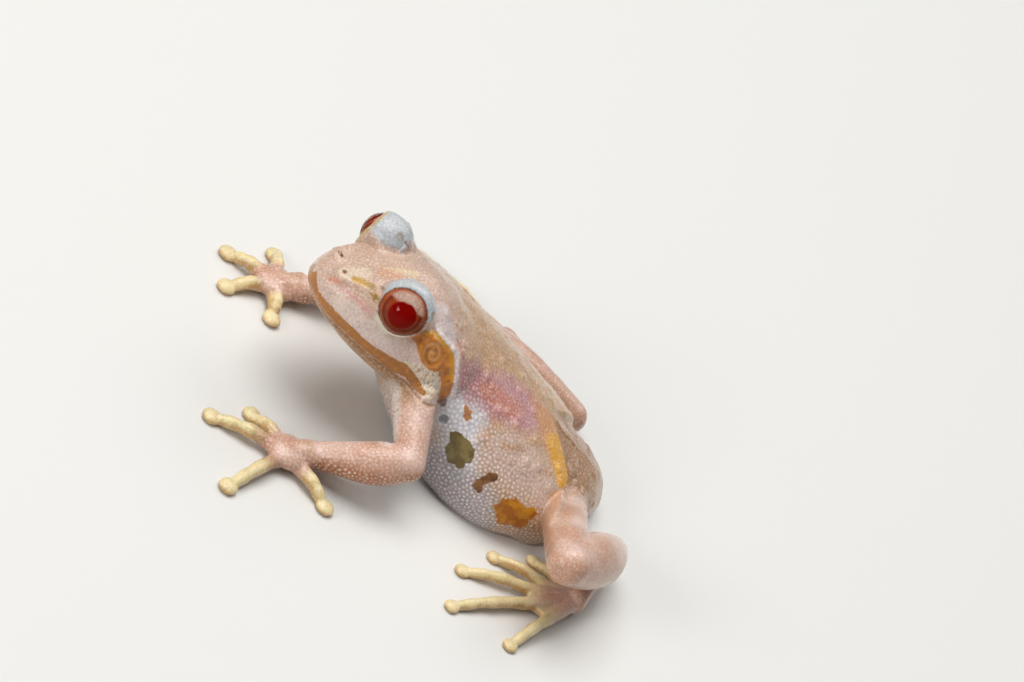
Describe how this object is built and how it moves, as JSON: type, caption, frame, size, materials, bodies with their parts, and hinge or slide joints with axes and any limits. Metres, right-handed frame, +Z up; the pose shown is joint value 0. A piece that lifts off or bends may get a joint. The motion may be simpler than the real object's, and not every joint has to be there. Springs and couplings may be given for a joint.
{
  "type": "pacific tree frog",
  "caption": "Life-size still model of a pale tree frog sitting with its fore part raised, hind legs folded, toe pads splayed on the floor.",
  "frame": {"origin": "on the floor, under the middle of the bounding box", "axes": "+X to the frog's left, -Y the way its trunk faces, +Z up"},
  "size_m": [0.0472, 0.0408, 0.0168],
  "materials": {
    "skin": "moist, finely granular, peach",
    "belly_skin": "moist, pearly granules, pale lilac and rose",
    "digit_skin": "moist, translucent cream yellow",
    "eye": "wet gloss, red"
  },
  "bodies": {
    "root": {"eye_left": "eye", "eye_right": "eye", "foot_left": "digit_skin", "foot_right": "digit_skin", "forearm_left": "skin", "forearm_right": "skin", "hand_left": "digit_skin", "hand_right": "digit_skin", "head": "skin", "rump": "skin", "shank_left": "skin", "shank_right": "skin", "tarsus_left": "skin", "tarsus_right": "skin", "thigh_left": "skin", "thigh_right": "skin", "torso": "belly_skin", "upper_arm_left": "skin", "upper_arm_right": "skin"}
  },
  "joints": []
}
